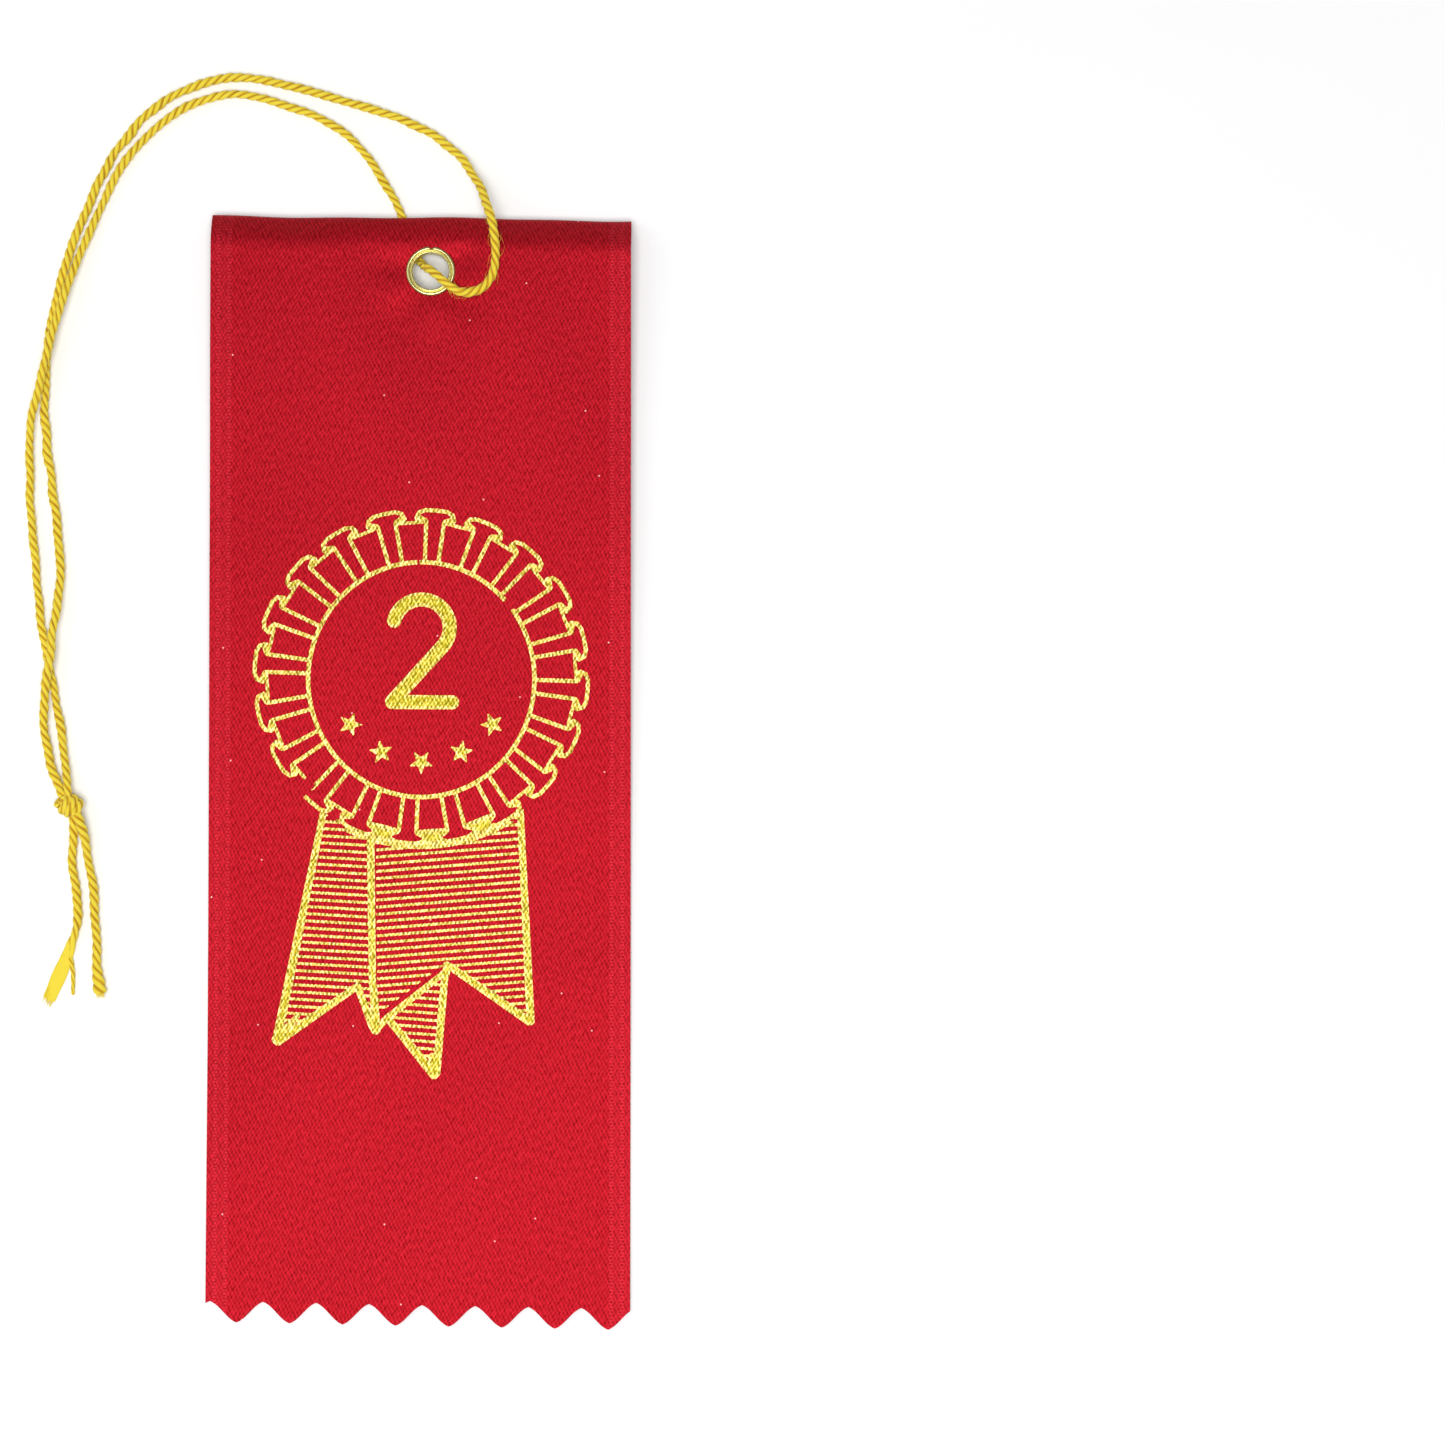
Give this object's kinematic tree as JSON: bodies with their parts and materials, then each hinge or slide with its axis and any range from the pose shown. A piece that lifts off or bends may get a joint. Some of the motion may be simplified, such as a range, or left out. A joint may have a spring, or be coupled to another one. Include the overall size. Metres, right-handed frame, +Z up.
{
  "type": "award ribbon",
  "caption": "Flat satin award ribbon with pinked ends, folded over a writing card, clamped by a brass eyelet, with foil-stamped rosette and a knotted hanging string.",
  "frame": {"origin": "middle of the ribbon's own box, on the surface that it lies on", "axes": "+Z up out of the printed face, +Y along the ribbon to the folded top edge, +X to the right of the printed face"},
  "size_m": [0.0734, 0.1518, 0.0048],
  "materials": {
    "satin_ribbon": "woven acetate satin, shiny face and dull back",
    "writing_card": "uncoated white card, smooth",
    "brass_eyelet": "bright plated brass, rolled edge",
    "string_yarn": "twisted yellow yarn",
    "gold_foil": "hot-stamped metallic foil, speckled by the weave"
  },
  "bodies": {
    "head": {"ribbon_head": "satin_ribbon", "card_top": "writing_card", "eyelet": "brass_eyelet", "string_front": "string_yarn", "string_back": "string_yarn", "string_knot": "string_yarn", "string_tail_left": "string_yarn", "string_tail_right": "string_yarn"},
    "card": {"card_leaf": "writing_card", "ribbon_neck": "satin_ribbon"},
    "panel": {"ribbon_tail": "satin_ribbon", "foil_rosette": "gold_foil", "foil_numeral": "gold_foil", "foil_stars": "gold_foil", "foil_streamer_left": "gold_foil", "foil_streamer_right": "gold_foil"}
  },
  "joints": [
    {"name": "fold_up", "type": "hinge", "parent": "head", "child": "card", "pos_m": [0, 0.052, 0.00242], "axis": [-1, 0, 0], "range_deg": [0, 90]},
    {"name": "panel_lift", "type": "hinge", "parent": "card", "child": "panel", "pos_m": [0, 0.046, 0.00224], "axis": [-1, 0, 0], "range_deg": [0, 90]}
  ]
}
